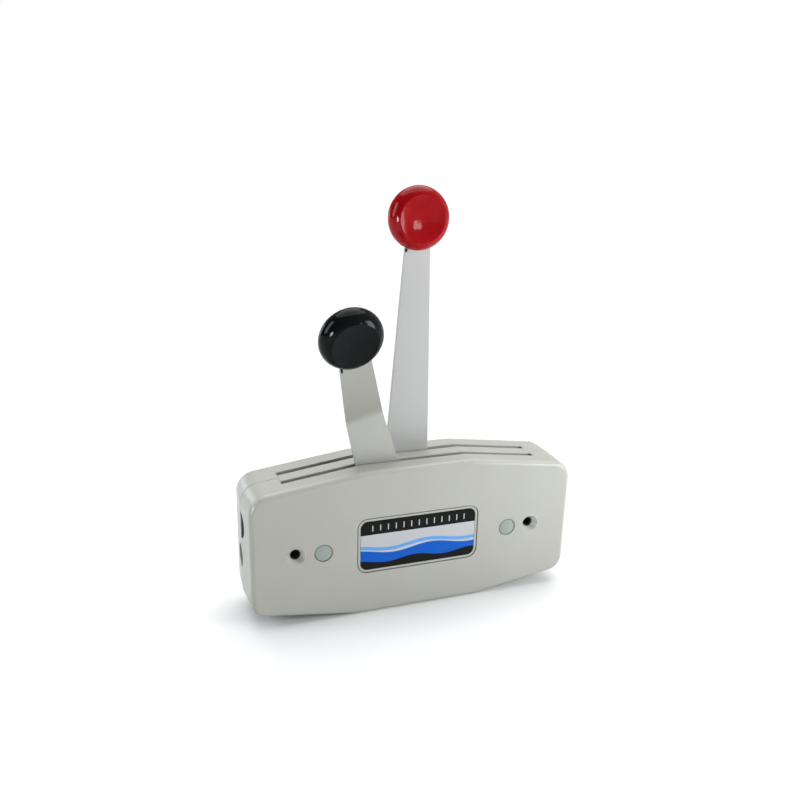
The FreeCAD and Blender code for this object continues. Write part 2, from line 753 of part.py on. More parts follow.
def make_pivot_bolt():
    body = new_body("pivot_bolt", PIVOT_PLACE)
    shank = sketch_on(body, "XZ_Plane", BOLT_END)
    draw_circle(shank, "bolt_radius")
    pad(body, shank, f"{HEAD_SEAT} - {BOLT_END}")
    head = sketch_on(body, "XZ_Plane", HEAD_SEAT)
    draw_polygon(head, hexagon("bolt_head_flats"))
    pad(body, head, "bolt_head_height")
    return body


def make_pivot_nut():
    body = new_body("pivot_nut", PIVOT_PLACE)
    sketch = sketch_on(body, "XZ_Plane", f"{NUT_SEAT} - nut_height")
    draw_polygon(sketch, hexagon("bolt_head_flats"))
    draw_circle(sketch, "bolt_radius + turning_gap / 2")
    pad(body, sketch, "nut_height")
    return body


def make_washers():
    hole = "bolt_radius + washer_hole_gap"
    plain = group("plain_washers", [
        ring("head_washer", hole, "washer_radius", f"{HEAD_SEAT} - washer_thickness", HEAD_SEAT,
             PIVOT_PLACE),
        ring("nut_washer", hole, "washer_radius", f"{NUT_WASHER_SEAT} - washer_thickness",
             NUT_WASHER_SEAT, PIVOT_PLACE)])
    friction = group("friction_washers", [
        ring("rear_friction_washer", hole, "hub_radius", f"{THROTTLE_INNER} + face_gap",
             f"{BOSS_REAR} - face_gap", PIVOT_PLACE),
        ring("front_friction_washer", hole, "hub_radius", f"{BOSS_FRONT} + face_gap",
             f"{SHIFT_INNER} - face_gap", PIVOT_PLACE)])
    top = f"{NUT_WASHER_SEAT} - washer_thickness"
    spring = turned("spring_washer", [
        (hole, NUT_SEAT), (f"{hole} + spring_washer_rise", NUT_SEAT),
        ("washer_radius", f"{top} - spring_washer_thickness"), ("washer_radius", top),
        ("washer_radius - spring_washer_rise", top),
        (hole, f"{NUT_SEAT} + spring_washer_thickness")], PIVOT_PLACE)
    return [plain, friction, spring]


# Levers

def lever_outline(lever, neck_reach, end):
    """The strip's outline: narrow at the hub, widest by the slot, then tapering to a tang."""
    half = [("hub_radius", "0"), (f"{lever}_wide / 2", f"{lever}_wide_reach"),
            (f"{lever}_neck / 2", neck_reach), ("tang_width / 2", neck_reach),
            ("tang_width / 2", end)]
    return half + [(f"-({x})", z) for x, z in reversed(half)]


def trim_to_outline(body, corners, height):
    """Cuts a wide blank to its outline, seen from the front."""
    sketch = sketch_on(body, "XZ_Plane")
    side = f"shift_wide + {MARGIN}"
    low = "-hub_radius - blade_thickness"
    draw_polygon(sketch, [(side, low), (side, height), (f"-({side})", height), (f"-({side})", low)])
    draw_polygon(sketch, corners)
    pocket(body, sketch, both_ways=True)


def finish_lever(body, lever):
    """The round hub, with the bush's and the swivel's holes."""
    hub = sketch_on(body, "XZ_Plane")
    draw_circle(hub, "hub_radius")
    pad(body, hub, "blade_thickness", both_ways=True)
    holes = sketch_on(body, "XZ_Plane")
    draw_circle(holes, "bush_radius")
    draw_circle(holes, "swivel_pin_radius + turning_gap", "0", f"{lever}_swivel_reach")
    pocket(body, holes, both_ways=True)


def make_throttle_lever():
    body = new_body("throttle_lever", LEVER_PLACE["throttle"])
    sketch = sketch_on(body, "XZ_Plane")
    neck_reach = "throttle_reach - shoulder_below_centre"
    draw_polygon(sketch, lever_outline("throttle", neck_reach, "throttle_reach + tang_beyond_centre"))
    pad(body, sketch, "blade_thickness", both_ways=True)
    finish_lever(body, "throttle")
    return body


def make_shift_lever():
    """A strip bent forward: its side view first, then cut to its outline."""
    body = new_body("shift_lever", LEVER_PLACE["shift"])
    side = sketch_on(body, "YZ_Plane")
    half = "blade_thickness / 2"
    beyond = "(shift_beyond_bend + tang_beyond_centre)"
    end_y = f"-{beyond} * sin(shift_bend_angle)"
    end_z = f"shift_bend_reach + {beyond} * cos(shift_bend_angle)"
    miter = f"{half} * tan(shift_bend_angle / 2)"
    low = "-hub_radius - blade_thickness"
    draw_polygon(side, [
        (half, low), (half, f"shift_bend_reach + {miter}"),
        (f"{end_y} + {half} * cos(shift_bend_angle)", f"{end_z} + {half} * sin(shift_bend_angle)"),
        (f"{end_y} - {half} * cos(shift_bend_angle)", f"{end_z} - {half} * sin(shift_bend_angle)"),
        (f"-{half}", f"shift_bend_reach - {miter}"), (f"-{half}", low)])
    pad(body, side, "2 * shift_wide", both_ways=True)

    def bend(edge, front):
        at_bend = abs(edge.CenterOfMass.z - value("shift_bend_reach")) < value("blade_thickness")
        return runs_along(edge, "x") and at_bend and (edge.CenterOfMass.y < 0) == front
    dress(body, "Fillet", "shift_bend_radius", 1, lambda edge: bend(edge, True))
    dress(body, "Fillet", "shift_bend_radius + blade_thickness", 1, lambda edge: bend(edge, False))
    knob_height = "shift_bend_reach + shift_beyond_bend * cos(shift_bend_angle)"
    neck = f"{knob_height} - shoulder_below_centre * cos(shift_bend_angle)"
    end = f"{knob_height} + tang_beyond_centre * cos(shift_bend_angle)"
    trim_to_outline(body, lever_outline("shift", neck, f"{end} + {MARGIN}"), f"{end} + 2 * {MARGIN}")
    finish_lever(body, "shift")
    return body


def make_knob(lever):
    """A thick round-rimmed disc with a shallow dish, slotted below for the lever's tang."""
    body = new_body(f"{lever}_knob", KNOB_PLACE[lever])
    core = body.newObject("PartDesign::AdditiveCylinder", f"{lever}_knob_core")
    bind(core, {"Radius": "knob_ring_radius", "Height": "2 * knob_rim_radius",
                "Placement": at("0", "-knob_rim_radius", "0", TO_THE_FRONT)})
    rim = body.newObject("PartDesign::AdditiveTorus", f"{lever}_knob_rim")
    bind(rim, {"Radius1": "knob_ring_radius", "Radius2": "knob_rim_radius",
               "Placement": at("0", "0", "0", TO_THE_FRONT)})
    edge = "sqrt(knob_rim_radius^2 - (knob_dish_radius - knob_ring_radius)^2)"
    sphere = "((knob_dish_radius^2 + knob_dish_depth^2) / (2 * knob_dish_depth))"
    cutter(body, "Sphere", {
        "Radius": sphere, "Placement": at("0", f"{edge} - knob_dish_depth + {sphere}")})
    slot = "(blade_thickness / 2 + knob_slot_gap)"
    low = "knob_ring_radius + knob_rim_radius"
    for width, high in (("tang_width", "tang_beyond_centre + knob_slot_gap"),
                        (f"{lever}_neck + knob_slot_gap", "knob_mouth_depth - knob_ring_radius"
                         " - knob_rim_radius")):
        half = f"({width} / 2 + knob_slot_gap)"
        cutter(body, "Box", {
            "Length": f"2 * {half}", "Width": f"2 * {slot}", "Height": f"{high} + {low}",
            "Placement": at(f"-{half}", slot, f"-({low})")})
    cutter(body, "Cylinder", {
        "Radius": "set_screw_radius + set_screw_gap", "Height": "2 * knob_rim_radius",
        "Placement": at("0", "0", "0", TO_THE_REAR)})
    return body


def make_knob_screw(lever):
    """A grub screw from the knob's back onto the tang."""
    tip = "-(blade_thickness / 2)"
    end = f"({tip} - knob_screw_length)"
    return turned(f"{lever}_knob_screw", [
        ("0", end), ("set_screw_radius", end), ("set_screw_radius", f"{tip} - set_screw_radius / 2"),
        ("set_screw_radius / 2", tip), ("0", tip)], KNOB_PLACE[lever])


def make_bush(lever, sense):
    """A flanged bearing pressed into the hub, its flange on the outer side."""
    bore = "bolt_radius + turning_gap"
    inner = "-blade_thickness / 2"
    outer = "blade_thickness / 2"
    return turned(f"{lever}_bush", [
        (bore, inner), ("bush_radius", inner), ("bush_radius", outer), ("bush_flange_radius", outer),
        ("bush_flange_radius", f"{outer} + bush_flange_thickness"),
        (bore, f"{outer} + bush_flange_thickness")], LEVER_PLACE[lever], sense)


# Cable swivels

def make_swivel(lever, sense):
    """A pin through the lever with a cross-drilled barrel on the lever's outer side."""
    inner = "-blade_thickness / 2"
    barrel = "(blade_thickness / 2 + swivel_side_gap)"
    groove = f"({inner} - clip_gap)"
    body = turned(f"{lever}_swivel", [
        ("0", f"{inner} - swivel_pin_end"), ("swivel_pin_radius", f"{inner} - swivel_pin_end"),
        ("swivel_pin_radius", f"{groove} - clip_thickness"),
        ("clip_groove_radius", f"{groove} - clip_thickness"), ("clip_groove_radius", groove),
        ("swivel_pin_radius", groove), ("swivel_pin_radius", barrel),
        ("swivel_barrel_radius", barrel), ("swivel_barrel_radius", f"{barrel} + swivel_barrel_length"),
        ("0", f"{barrel} + swivel_barrel_length")], SWIVEL_PLACE[lever], sense)
    wire = f"{sense} * ({barrel} + swivel_wire_offset)"
    cutter(body, "Cylinder", {
        "Radius": "swivel_wire_radius", "Height": "4 * swivel_barrel_radius",
        "Placement": at("-2 * swivel_barrel_radius", wire, "0", ALONG_X)})
    cutter(body, "Cylinder", {
        "Radius": "set_screw_radius + set_screw_gap", "Height": "swivel_barrel_length",
        "Placement": at("0", wire, "0", TO_THE_FRONT if sense == 1 else TO_THE_REAR)})
    return body


def make_swivel_screw(lever, sense):
    end = "(blade_thickness / 2 + swivel_side_gap + swivel_barrel_length)"
    return turned(f"{lever}_swivel_screw", [
        ("0", f"{end} - swivel_screw_length"), ("set_screw_radius", f"{end} - swivel_screw_length"),
        ("set_screw_radius", end), ("0", end)], SWIVEL_PLACE[lever], sense)


def make_swivel_clip(lever, sense):
    """An open spring clip in the swivel's groove."""
    near = "(-blade_thickness / 2 - clip_gap)"
    body = ring(f"{lever}_swivel_clip", "clip_groove_radius", "clip_radius",
                f"{near} - clip_thickness", near, SWIVEL_PLACE[lever], sense)
    cutter(body, "Box", {
        "Length": "clip_mouth", "Width": "4 * blade_thickness", "Height": "clip_radius",
        "Placement": at("-clip_mouth / 2", "2 * blade_thickness", "-clip_radius")})
    return body


# Cable clamps

def make_clamp(name, plane, height, sense):
    """A pressed strap over the cable: two flat ears and a half-round arch."""
    left = f"-{CLAMP_END[name]}"
    if sense == "rear":
        rear, front = f"{plane} - strap_thickness", plane
        arch_rear, arch_front = f"{plane} - sheath_radius - {MARGIN}", plane
    else:
        rear, front = plane, f"{plane} + strap_thickness"
        arch_rear, arch_front = plane, f"{plane} + sheath_radius + {MARGIN}"
    ears = block(f"{name}_strap_ears", left, f"-{CLAMP_END[name]} + clamp_length", rear, front,
                 f"{height} - clamp_half_height", f"{height} + clamp_half_height")
    tube = bar_along_x(f"{name}_strap_tube", "sheath_radius + strap_thickness", left, "clamp_length",
                       plane, height)
    side = block(f"{name}_strap_side", left, f"-{CLAMP_END[name]} + clamp_length", arch_rear, arch_front,
                 f"{height} - clamp_half_height", f"{height} + clamp_half_height")
    arch = common(f"{name}_strap_arch", tube, side)
    hole = bar_along_x(f"{name}_strap_hole", "sheath_radius", f"{left} - {MARGIN}",
                       f"clamp_length + 2 * {MARGIN}", plane, height)
    tools = [hole]
    for place, sign in (("upper", "1"), ("lower", "-1")):
        tools.append(rod(f"{name}_strap_{place}_hole", "clamp_screw_radius + screw_hole_gap",
                         f"{rear} - {MARGIN}", f"{front} + {MARGIN}",
                         f"-{CLAMP_END[name]} + clamp_length / 2",
                         f"{height} + {sign} * clamp_screw_offset"))
    return cut(f"{name}_cable_clamp", fuse(f"{name}_strap", [ears, arch]), tools)


def make_clamp_screws():
    screws = []
    head = "strap_thickness"
    top = f"({head} + clamp_screw_head_height)"
    tip = f"({head} - clamp_screw_length)"
    for name, sense in (("shift", -1), ("throttle", 1)):
        for place, sign in (("upper", "1"), ("lower", "-1")):
            screws.append(turned(f"{name}_{place}_clamp_screw", [
                ("0", tip), ("clamp_screw_tip_radius", tip),
                ("clamp_screw_radius", f"{tip} + clamp_screw_tip_length"),
                ("clamp_screw_radius", head), ("clamp_screw_head_radius", head),
                ("clamp_screw_head_radius", f"{top} - clamp_screw_head_edge"),
                ("clamp_screw_head_radius - clamp_screw_head_edge", top), ("0", top)],
                at(f"-{CLAMP_END[name]} + clamp_length / 2", CABLE_DEPTH[name],
                   f"{name}_cable_height + {sign} * clamp_screw_offset"), sense))
    return group("clamp_screws", screws)


def build():
    """Every sub-part, by the name that its file takes."""
    fill_sheet()
    made = [make_front_cover(), make_rear_cover(), make_centre_divider(), make_label_plate(),
            make_caps(), make_housing_screws(), make_inserts(), make_sleeves(),
            make_pivot_bolt(), make_pivot_nut()]
    made += make_washers()
    made += [make_throttle_lever(), make_shift_lever()]
    for lever, sense in (("throttle", -1), ("shift", 1)):
        made += [make_knob(lever), make_knob_screw(lever), make_bush(lever, sense),
                 make_swivel(lever, sense), make_swivel_screw(lever, sense),
                 make_swivel_clip(lever, sense)]
    made += [make_clamp("shift", CABLE_DEPTH["shift"], "shift_cable_height", "rear"),
             make_clamp("throttle", CABLE_DEPTH["throttle"], "throttle_cable_height", "front"),
             make_clamp_screws()]
    doc.recompute()
    return made


def check_document(subparts):
    """Stops on a failed object or on a shape that is empty or broken."""
    for item in doc.Objects:
        if "Invalid" in item.State or "Error" in item.State:
            raise RuntimeError(f"{item.Label} failed: {item.State}")
    for item in subparts:
        if item.Shape.isNull() or not item.Shape.isValid() or item.Shape.Volume <= 0:
            raise RuntimeError(f"{item.Label} has no sound shape")


subparts = build()
check_document(subparts)
os.makedirs("parts", exist_ok=True)
for item in subparts:
    item.Shape.exportStep(f"parts/{item.Label}.step")
    box = item.Shape.BoundBox
    print(f"{item.Label:22s} {len(item.Shape.Solids)} solids {item.Shape.Volume:9.1f} mm3 "
          f"x {box.XMin:.1f}..{box.XMax:.1f} y {box.YMin:.1f}..{box.YMax:.1f} "
          f"z {box.ZMin:.1f}..{box.ZMax:.1f}")
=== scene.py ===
# %% [markdown]
# # A twin-lever control for a boat
#
# The object is a moulded housing with two shells, a bar between two slots, and
# two metal levers with round knobs. Its measured solids are already made. They
# are loaded first, and everything in this file is laid over them, so no piece
# here needs fitting. Lengths are metres, with X along the housing, Y towards
# the wall it is bolted to, and Z up.

# %% Load the measured solids
import json
import math

import bmesh
import bpy
from mathutils import Matrix, Vector

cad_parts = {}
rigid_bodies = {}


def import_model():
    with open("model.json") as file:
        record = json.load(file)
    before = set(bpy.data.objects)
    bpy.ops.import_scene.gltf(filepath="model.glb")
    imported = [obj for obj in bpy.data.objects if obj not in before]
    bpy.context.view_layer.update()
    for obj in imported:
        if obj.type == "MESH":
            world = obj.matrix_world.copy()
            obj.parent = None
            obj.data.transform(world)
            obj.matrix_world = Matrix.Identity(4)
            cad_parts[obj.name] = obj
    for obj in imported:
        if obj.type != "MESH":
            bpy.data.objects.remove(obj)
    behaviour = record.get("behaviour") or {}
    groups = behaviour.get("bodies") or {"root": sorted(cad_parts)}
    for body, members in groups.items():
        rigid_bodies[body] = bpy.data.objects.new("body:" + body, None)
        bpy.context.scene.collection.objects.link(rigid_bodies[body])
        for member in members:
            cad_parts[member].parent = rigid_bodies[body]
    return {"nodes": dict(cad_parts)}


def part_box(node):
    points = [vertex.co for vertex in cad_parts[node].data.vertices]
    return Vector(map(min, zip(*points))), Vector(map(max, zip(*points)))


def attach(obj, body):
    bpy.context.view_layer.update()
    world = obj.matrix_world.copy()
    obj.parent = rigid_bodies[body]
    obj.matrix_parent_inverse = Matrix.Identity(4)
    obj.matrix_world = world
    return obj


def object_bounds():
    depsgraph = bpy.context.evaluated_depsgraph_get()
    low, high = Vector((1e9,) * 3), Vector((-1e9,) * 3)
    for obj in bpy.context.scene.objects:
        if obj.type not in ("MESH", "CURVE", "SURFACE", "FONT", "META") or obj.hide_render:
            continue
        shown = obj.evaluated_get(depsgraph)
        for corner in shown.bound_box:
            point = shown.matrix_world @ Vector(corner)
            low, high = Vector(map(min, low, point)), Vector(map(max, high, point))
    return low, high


for leftover in list(bpy.data.objects):
    bpy.data.objects.remove(leftover)

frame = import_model()
nodes = frame["nodes"]
cad_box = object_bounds()
MM = 0.001
print(len(nodes), "nodes, from", [round(x / MM, 1) for x in cad_box[0]],
      "to", [round(x / MM, 1) for x in cad_box[1]])

# %% [markdown]
# ## Writing finishes as sums
#
# A finish is a shader tree. It could be built node by node, but its maths reads
# best as ordinary sums. So a small class wraps a socket, and adding or
# multiplying two wrapped sockets adds the Math node for it. Every other node
# comes from one method that sets the node's own settings first and then its
# sockets.


# %% Shader sums
class Amount:
    """A number that changes over the surface, as the output of a node."""

    def __init__(self, finish, socket):
        self.finish = finish
        self.socket = socket

    def math(self, operation, *others):
        sums = {0: self}
        sums.update(enumerate(others, start=1))
        return self.finish.node("ShaderNodeMath", {"operation": operation}, sums)

    def __add__(self, other):
        return self.math("ADD", other)

    def __sub__(self, other):
        return self.math("SUBTRACT", other)

    def __rsub__(self, other):
        return self.finish.node("ShaderNodeMath", {"operation": "SUBTRACT"}, {0: other, 1: self})

    def __mul__(self, other):
        return self.math("MULTIPLY", other)

    def __truediv__(self, other):
        return self.math("DIVIDE", other)

    __radd__ = __add__
    __rmul__ = __mul__

    def __lt__(self, other):
        return self.math("LESS_THAN", other)

    def __gt__(self, other):
        return self.math("GREATER_THAN", other)

    def __abs__(self):
        return self.math("ABSOLUTE")

    def sine(self):
        return self.math("SINE")

    def wrapped(self, length):
        """The remainder after whole lengths, for a pattern that repeats."""
        return self.math("FLOORED_MODULO", length)

    def higher_of(self, other):
        return self.math("MAXIMUM", other)

    def lower_of(self, other):
        return self.math("MINIMUM", other)

    def root(self):
        return self.math("SQRT")

    def between(self, low, high):
        """0 below low, 1 above high and a straight ramp between them."""
        return self.finish.node("ShaderNodeMapRange", {"clamp": True},
                                {"Value": self, "From Min": low, "From Max": high})


class Finish:
    """A Principled material whose nodes are added one expression at a time."""

    def __init__(self, name, **looks):
        self.material = bpy.data.materials.new(name)
        self.material.use_nodes = True
        self.tree = self.material.node_tree
        self.shader = self.tree.nodes["Principled BSDF"]
        self.place = self.node("ShaderNodeTexCoord", output="Object")
        self.wear(**looks)

    def put(self, node, socket, number):
        """Links a wrapped socket, or sets a plain number or colour."""
        if isinstance(number, Amount):
            self.tree.links.new(number.socket, node.inputs[socket])
        else:
            node.inputs[socket].default_value = number

    def node(self, kind, settings=(), sockets=(), output=0):
        """Adds a node and wraps one of its outputs."""
        made = self.tree.nodes.new(kind)
        for name, setting in dict(settings).items():
            setattr(made, name, setting)
        for socket, number in dict(sockets).items():
            self.put(made, socket, number)
        return Amount(self, made.outputs[output])

    def wear(self, **looks):
        """Feeds the shader's own sockets; Base_Color stands for Base Color."""
        for socket, number in looks.items():
            self.put(self.shader, socket.replace("_", " "), number)
        return self

    def axes(self):
        """The surface's own X, Y and Z in millimetres."""
        parts = self.tree.nodes.new("ShaderNodeSeparateXYZ")
        self.tree.links.new(self.place.socket, parts.inputs[0])
        return [Amount(self, output) / MM for output in parts.outputs]

    def noise(self, size, detail=2.0, stretch=(1, 1, 1)):
        """Soft noise from 0 to 1 whose blobs are about `size` millimetres across."""
        scaled = self.node("ShaderNodeMapping", {"vector_type": "POINT"},
                           {"Vector": self.place, "Scale": [s / (size * MM) for s in stretch]})
        return self.node("ShaderNodeTexNoise", {},
                         {"Vector": scaled, "Scale": 1.0, "Detail": detail}, "Fac")

    def blend(self, share, first, second):
        """One colour where share is 0 and another where it is 1."""
        return self.node("ShaderNodeMix", {"data_type": "RGBA", "clamp_factor": True},
                         {0: share, 6: first, 7: second}, 2)

    def bump(self, height, depth, rounded=0.0):
        """Relief `depth` millimetres deep, over edges softened to a radius."""
        sockets = {"Height": height, "Distance": depth * MM, "Strength": 1.0}
        if rounded:
            sockets["Normal"] = self.node("ShaderNodeBevel", {"samples": 4},
                                          {"Radius": rounded * MM})
        return self.node("ShaderNodeBump", {}, sockets)


def paint(red, green, blue):
    """A colour as a screen shows it, 0 to 255, in the linear form that Blender mixes."""
    def linear(level):
        level = level / 255
        return level / 12.92 if level <= 0.04045 else ((level + 0.055) / 1.055) ** 2.4
    return (linear(red), linear(green), linear(blue), 1.0)


finishes = {}


def keep(slot, finish):
    """Files a finish under the name of the slot whose solids get it."""
    finishes[slot] = finish
    print(slot, "with", len(finish.tree.nodes), "nodes")


# %% [markdown]
# ## Shell plastic
#
# The housing is moulded in a warm light grey with a satin face. On the real
# part the steel mould leaves a very fine grain, and the wall sinks and swells
# by about a tenth of a millimetre, which bends soft reflections. Two noises at
# those sizes make both, and a faint third one varies the colour.
#
# Dust and painted shade: where the two shells meet and in the groove round the
# label, dust and shadow gather. These lines are finer than the light can show, so
# their shade is painted, with the dust: one follows the seam's depth beyond the
# slots, and two follow the label's outline, as the distance to a rectangle with
# round corners. In the photograph the cones of the mounting holes look nearly as
# light as the face, lighter than the lamps here make them. So their side away
# from the window gets painted light, a paler paint, and each hole gets painted
# shade, a dark edge.


# %% Shell plastic
SHELL_LOWER, SHELL_UPPER = paint(158, 158, 150), paint(162, 162, 155)
SEAM_DEPTH, SEAM_HALF_WIDTH = 21.4, 0.2
SLOTS_END = 84                          # on either side of the middle
LABEL_FRAME = (39.6, 18.15, 6.5)        # half length, half height and corner radius
LABEL_HEIGHT = 0.5
LABEL_LINES = ((0.25, 0.3), (2.05, 0.2))    # way in from the frame, and half width
FACE_DEPTH = 41
SEAM_DUST_AND_SHADE, LABEL_DUST_AND_SHADE = 0.8, 0.55       # share of the dark paint
MOUNT_REACH = 77
HOLE_SHADE_RADIUS, MOUNT_RECESS = 3.2, 5.8      # radius of the dark edge, and of the cone
RECESS_START, RECESS_PAINTED_LIGHT = -2.5, 0.75  # from the hole's axis, and the paint's share


def label_lines(across, depth, up):
    """1 on the two lines round the label, from the distance to its frame."""
    half_length, half_height, corner = LABEL_FRAME
    sideways = abs(across) + (corner - half_length)
    upwards = abs(up - LABEL_HEIGHT) + (corner - half_height)
    round_corner = (sideways.higher_of(0) * sideways.higher_of(0)
                    + upwards.higher_of(0) * upwards.higher_of(0)).root()
    outside = round_corner + sideways.higher_of(upwards).lower_of(0) - corner
    outer, inner = (abs(outside + inset) < half_width for inset, half_width in LABEL_LINES)
    return (outer + inner) * (depth < -FACE_DEPTH)


def shell_finish():
    finish = Finish("shell_plastic", IOR=1.48)
    grain = finish.noise(0.45, detail=3.0)
    swell = finish.noise(26, detail=1.0)
    cloud = finish.noise(60, detail=3.0)
    across, depth, up = finish.axes()
    colour = finish.blend(cloud.between(0.3, 0.7), SHELL_LOWER, SHELL_UPPER)
    # painted shade, with dust, along the seam beyond the slots
    seam = (abs(depth + SEAM_DEPTH) < SEAM_HALF_WIDTH) * (abs(across) > SLOTS_END)
    colour = finish.blend(seam * SEAM_DUST_AND_SHADE, colour, paint(60, 62, 60))
    # painted shade, with dust, in the groove round the label
    lines = label_lines(across, depth, up)
    colour = finish.blend(lines * LABEL_DUST_AND_SHADE, colour, paint(60, 62, 56))
    sideways = across + (MOUNT_REACH - 2 * MOUNT_REACH * (across > 0))
    from_hole = (sideways * sideways + up * up).root()
    cone_painted_light = (from_hole < MOUNT_RECESS) * sideways.between(RECESS_START, MOUNT_RECESS)
    # painted light: a paler paint on the side of each mounting cone away from the window
    colour = finish.blend(cone_painted_light * RECESS_PAINTED_LIGHT, colour, paint(214, 214, 210))
    # painted shade: a dark edge round each mounting hole
    colour = finish.blend(from_hole < HOLE_SHADE_RADIUS, colour, paint(84, 86, 74))
    relief = finish.bump(grain * 0.02 + swell * 0.35, 1.0, rounded=0.35)
    return finish.wear(Base_Color=colour, Roughness=0.29 + 0.06 * finish.noise(9), Normal=relief)


keep("shell_plastic", shell_finish())

# %% [markdown]
# ## Lever metal
#
# The levers are flat strips with a pale satin coat. The grain of the rolled
# strip runs along its length, so its noise is stretched along Z, and the
# sheared edges are softened by a third of a millimetre.
#
# The short lever gets a shaded copy of the lever coat: a little darker and
# warmer than the long one's, as painted shade, and darker still on its bent
# part, most of all just above the bend, as painted shade for the bent face. One
# even coat would hide the bend in this soft light, so the painted shade is
# blended by the distance from the pivot along the blade, which leans by its own
# angle.


# %% Lever metal
SHORT_LEAN = math.radians(-15.3)
PIVOT_OFFSET, PIVOT_DROP = -1.8, 32
BENT, FADING = (112, 117), (120, 154)   # mm from the pivot, along the blade


def lever_finish(name, dark, light, bend_shade=0.0):
    finish = Finish(name, Metallic=0.2)
    streak = finish.noise(0.9, detail=3.0, stretch=(1, 1, 0.03))
    cloud = finish.noise(35, detail=2.0)
    colour = finish.blend(streak * 0.5 + cloud * 0.5, dark, light)
    # painted shade on the bent part, strongest just above the bend
    if bend_shade:
        across, _, up = finish.axes()
        reach = ((up + PIVOT_DROP) * math.cos(SHORT_LEAN)
                 + (across - PIVOT_OFFSET) * math.sin(SHORT_LEAN))
        share = bend_shade * reach.between(*BENT) * (1 - 0.5 * reach.between(*FADING))
        colour = finish.blend(share, colour, paint(100, 101, 86))
    relief = finish.bump(streak, 0.006, rounded=0.35)
    return finish.wear(Base_Color=colour, Roughness=0.38 + 0.12 * streak, Normal=relief)


keep("lever_metal", lever_finish("lever_metal", paint(160, 160, 158), paint(169, 169, 167)))
# a copy of the lever coat, darker and warmer as painted shade
short_lever_shaded_coat = lever_finish("short_lever_shaded_metal", paint(156, 156, 151), paint(164, 164, 159),
                          bend_shade=0.45)

# %% [markdown]
# ## Knob plastics
#
# Both knobs are glossy mouldings, one red and one black. The red one lets a
# little light in, so it glows slightly where it is thin, which takes subsurface
# light and not only a redder paint. Both carry the shallow waves that shrinkage
# leaves in a thick moulding, and fine scuffs that dull the gloss in places.


# %% Knob plastics
GLOW_DEPTH = 4


def knob_finish(name, dark, light, gloss, glow, shine):
    finish = Finish(name, IOR=1.5, Specular_IOR_Level=shine, Subsurface_Weight=glow,
                    Subsurface_Scale=GLOW_DEPTH * MM)
    wave = finish.noise(9, detail=1.0)
    scuff = finish.noise(1.2, detail=4.0).between(0.55, 0.8)
    return finish.wear(Base_Color=finish.blend(wave, dark, light),
                       Roughness=gloss + 0.10 * scuff,
                       Normal=finish.bump(wave, 0.25, rounded=0.25))


keep("red_plastic", knob_finish("red_plastic", paint(132, 4, 10), paint(150, 9, 17),
                                gloss=0.09, glow=0.12, shine=0.12))
keep("black_plastic", knob_finish("black_plastic", paint(7, 11, 11), paint(11, 15, 15),
                                  gloss=0.10, glow=0.0, shine=0.09))

# %% [markdown]
# ## Screw caps
#
# The caps are clear greyish green domes pressed in over the screws. Seen from
# the front they look almost like frosted glass with a darker rim. Real glass
# would show the screws behind, so only a fifth of the light goes through. The
# darker rim is painted shade, for the gap where each cap meets its hole, and it
# is painted by the distance from the cap's own middle.


# %% Screw caps
def cap_finish():
    finish = Finish("cap_plastic", IOR=1.46, Transmission_Weight=0.2)
    speck = finish.noise(1.6, detail=2.0)
    low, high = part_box("screw_caps")
    radius = (high.z - low.z) / 2 / MM
    across, _, up = finish.axes()
    sideways = abs(across) - (high.x / MM - radius)
    up = up - (high.z + low.z) / 2 / MM
    from_axis = (sideways * sideways + up * up).root() / radius
    colour = finish.blend(speck, paint(142, 153, 147), paint(158, 168, 162))
    # painted shade round the rim of each cap
    colour = finish.blend(from_axis.between(0.84, 0.97) * 0.7, colour, paint(60, 66, 60))
    return finish.wear(Base_Color=colour, Roughness=0.16 + 0.1 * speck,
                       Normal=finish.bump(speck, 0.03, rounded=0.2))


keep("cap_plastic", cap_finish())

# %% [markdown]
# ## Label print
#
# The plate sits in a shallow recess. It gets a plain design of its own in
# white, black and two blues: a dark band with a row of scale marks above, and
# long waves below. A picture file could hold it, but sums stay sharp at any
# size. All of it is worked out from the place on the plate in millimetres,
# measured from the plate's own corners.


# %% Label print
WHITE, BLACK = paint(174, 176, 178), paint(14, 16, 14)
BLUE, PALE_BLUE = paint(12, 82, 176), paint(96, 150, 206)
# Each wave: share of the plate's height, swing, length, shift and colour below.
WAVES = ((0.47, 1.5, 50, 0.8, PALE_BLUE), (0.40, 1.5, 50, 0.8, WHITE),
         (0.36, 1.7, 50, 0.5, BLUE), (0.15, 1.2, 38, 1.9, BLACK))
BAND_FOOT = 0.72
MARK_FOOT, MARK_TOP = 0.79, 0.91
MARK_PITCH, MARK_HALF_WIDTH, MARK_MARGIN = 5.0, 0.32, 7.0


